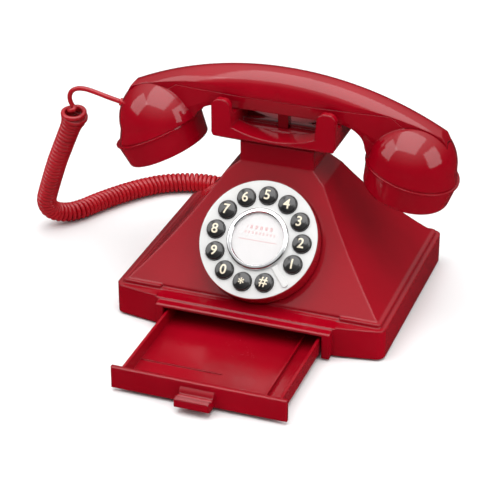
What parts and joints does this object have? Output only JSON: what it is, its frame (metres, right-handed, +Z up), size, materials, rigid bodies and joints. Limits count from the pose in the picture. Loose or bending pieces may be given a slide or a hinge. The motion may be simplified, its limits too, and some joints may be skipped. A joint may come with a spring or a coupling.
{
  "type": "desk_telephone",
  "caption": "Desk telephone with a coiled handset cord, a sloping keypad in a round plate, a cradle with a hook switch, and a pull-out drawer in the base",
  "frame": {"origin": "centre of the middle foot's underside on the table, midway between the four corner feet", "axes": "+Z up, -Y to the front (dial and drawer), +X to the right seen from the front; the handset lies along X"},
  "size_m": [0.3037, 0.2855, 0.1565],
  "materials": {
    "red_plastic": "glossy",
    "black_plastic": "glossy",
    "plate_white": "satin",
    "chrome_trim": "polished",
    "clear_window": "polished",
    "cord_vinyl": "glossy",
    "foot_rubber": "matte",
    "steel": "satin",
    "gong_brass": "polished",
    "coil_wire": "matte",
    "board_green": "matte"
  },
  "bodies": {
    "base": {"base_gland": "cord_vinyl", "base_plate": "black_plastic", "base_screws": "steel", "board_parts": "black_plastic", "board_standoffs": "steel", "cord_coil": "cord_vinyl", "cord_tail": "cord_vinyl", "cradle": "red_plastic", "dial_faceplate": "plate_white", "dial_housing": "red_plastic", "dial_ring": "chrome_trim", "dial_screws": "steel", "dial_window": "clear_window", "drawer_tunnel": "red_plastic", "finger_stop": "chrome_trim", "gong_left": "gong_brass", "gong_right": "gong_brass", "gong_screws": "steel", "hook_spring": "steel", "hook_switch": "black_plastic", "keypad_board": "board_green", "keypad_membrane": "foot_rubber", "line_socket": "black_plastic", "main_board": "board_green", "number_card": "plate_white", "ringer_coil": "coil_wire", "ringer_frame": "steel", "rubber_feet": "foot_rubber", "slider_switches": "black_plastic", "switch_bracket": "black_plastic", "upper_casing": "red_plastic"},
    "drawer": {"drawer_tray": "red_plastic", "drawer_front": "red_plastic"},
    "handset": {"handset_upper": "red_plastic", "handset_lower": "red_plastic", "mouthpiece_cap": "red_plastic", "earpiece_cap": "red_plastic", "receiver": "steel", "microphone": "black_plastic", "handset_weight": "steel", "handset_screws": "steel", "handset_gland": "cord_vinyl", "cord_lead": "cord_vinyl"},
    "hook": {"hook_plunger": "red_plastic"},
    "bell_clapper": {"clapper": "steel"},
    "ringer_switch": {"ringer_slider": "black_plastic"},
    "mode_switch": {"mode_slider": "black_plastic"},
    "body_key_0": {"key_0": "black_plastic"},
    "body_key_1": {"key_1": "black_plastic"},
    "body_key_2": {"key_2": "black_plastic"},
    "body_key_3": {"key_3": "black_plastic"},
    "body_key_4": {"key_4": "black_plastic"},
    "body_key_5": {"key_5": "black_plastic"},
    "body_key_6": {"key_6": "black_plastic"},
    "body_key_7": {"key_7": "black_plastic"},
    "body_key_8": {"key_8": "black_plastic"},
    "body_key_9": {"key_9": "black_plastic"},
    "body_key_hash": {"key_hash": "black_plastic"},
    "body_key_star": {"key_star": "black_plastic"}
  },
  "joints": [
    {"name": "drawer_slide", "type": "slide", "parent": "base", "child": "drawer", "axis": [0, -1, 0], "range_m": [-0.0727, 0]},
    {"name": "handset_lift", "type": "slide", "parent": "base", "child": "handset", "axis": [0, 0, 1], "range_m": [0, 0.1]},
    {"name": "hook_travel", "type": "slide", "parent": "base", "child": "hook", "axis": [0, 0, 1], "range_m": [0, 0.004], "deforming": ["hook_spring"]},
    {"name": "clapper_swing", "type": "hinge", "parent": "base", "child": "bell_clapper", "pos_m": [0, -0.008, 0.03], "axis": [0, 0, 1], "range_deg": [-5, 5]},
    {"name": "ringer_switch_slide", "type": "slide", "parent": "base", "child": "ringer_switch", "axis": [1, 0, 0], "range_m": [-0.002, 0.002]},
    {"name": "mode_switch_slide", "type": "slide", "parent": "base", "child": "mode_switch", "axis": [1, 0, 0], "range_m": [-0.002, 0.002]},
    {"name": "key_0_press", "type": "slide", "parent": "base", "child": "body_key_0", "axis": [0, 0.7501, -0.6613], "range_m": [0, 0.0015], "stiffness_N_per_m": 120, "springref_m": -0.001},
    {"name": "key_1_press", "type": "slide", "parent": "base", "child": "body_key_1", "axis": [0, 0.7501, -0.6613], "range_m": [0, 0.0015], "stiffness_N_per_m": 120, "springref_m": -0.001},
    {"name": "key_2_press", "type": "slide", "parent": "base", "child": "body_key_2", "axis": [0, 0.7501, -0.6613], "range_m": [0, 0.0015], "stiffness_N_per_m": 120, "springref_m": -0.001},
    {"name": "key_3_press", "type": "slide", "parent": "base", "child": "body_key_3", "axis": [0, 0.7501, -0.6613], "range_m": [0, 0.0015], "stiffness_N_per_m": 120, "springref_m": -0.001},
    {"name": "key_4_press", "type": "slide", "parent": "base", "child": "body_key_4", "axis": [0, 0.7501, -0.6613], "range_m": [0, 0.0015], "stiffness_N_per_m": 120, "springref_m": -0.001},
    {"name": "key_5_press", "type": "slide", "parent": "base", "child": "body_key_5", "axis": [0, 0.7501, -0.6613], "range_m": [0, 0.0015], "stiffness_N_per_m": 120, "springref_m": -0.001},
    {"name": "key_6_press", "type": "slide", "parent": "base", "child": "body_key_6", "axis": [0, 0.7501, -0.6613], "range_m": [0, 0.0015], "stiffness_N_per_m": 120, "springref_m": -0.001},
    {"name": "key_7_press", "type": "slide", "parent": "base", "child": "body_key_7", "axis": [0, 0.7501, -0.6613], "range_m": [0, 0.0015], "stiffness_N_per_m": 120, "springref_m": -0.001},
    {"name": "key_8_press", "type": "slide", "parent": "base", "child": "body_key_8", "axis": [0, 0.7501, -0.6613], "range_m": [0, 0.0015], "stiffness_N_per_m": 120, "springref_m": -0.001},
    {"name": "key_9_press", "type": "slide", "parent": "base", "child": "body_key_9", "axis": [0, 0.7501, -0.6613], "range_m": [0, 0.0015], "stiffness_N_per_m": 120, "springref_m": -0.001},
    {"name": "key_hash_press", "type": "slide", "parent": "base", "child": "body_key_hash", "axis": [0, 0.7501, -0.6613], "range_m": [0, 0.0015], "stiffness_N_per_m": 120, "springref_m": -0.001},
    {"name": "key_star_press", "type": "slide", "parent": "base", "child": "body_key_star", "axis": [0, 0.7501, -0.6613], "range_m": [0, 0.0015], "stiffness_N_per_m": 120, "springref_m": -0.001}
  ],
  "couplings": [
    {"joint": "hook_travel", "follows": "handset_lift", "ratio": 0.04}
  ]
}
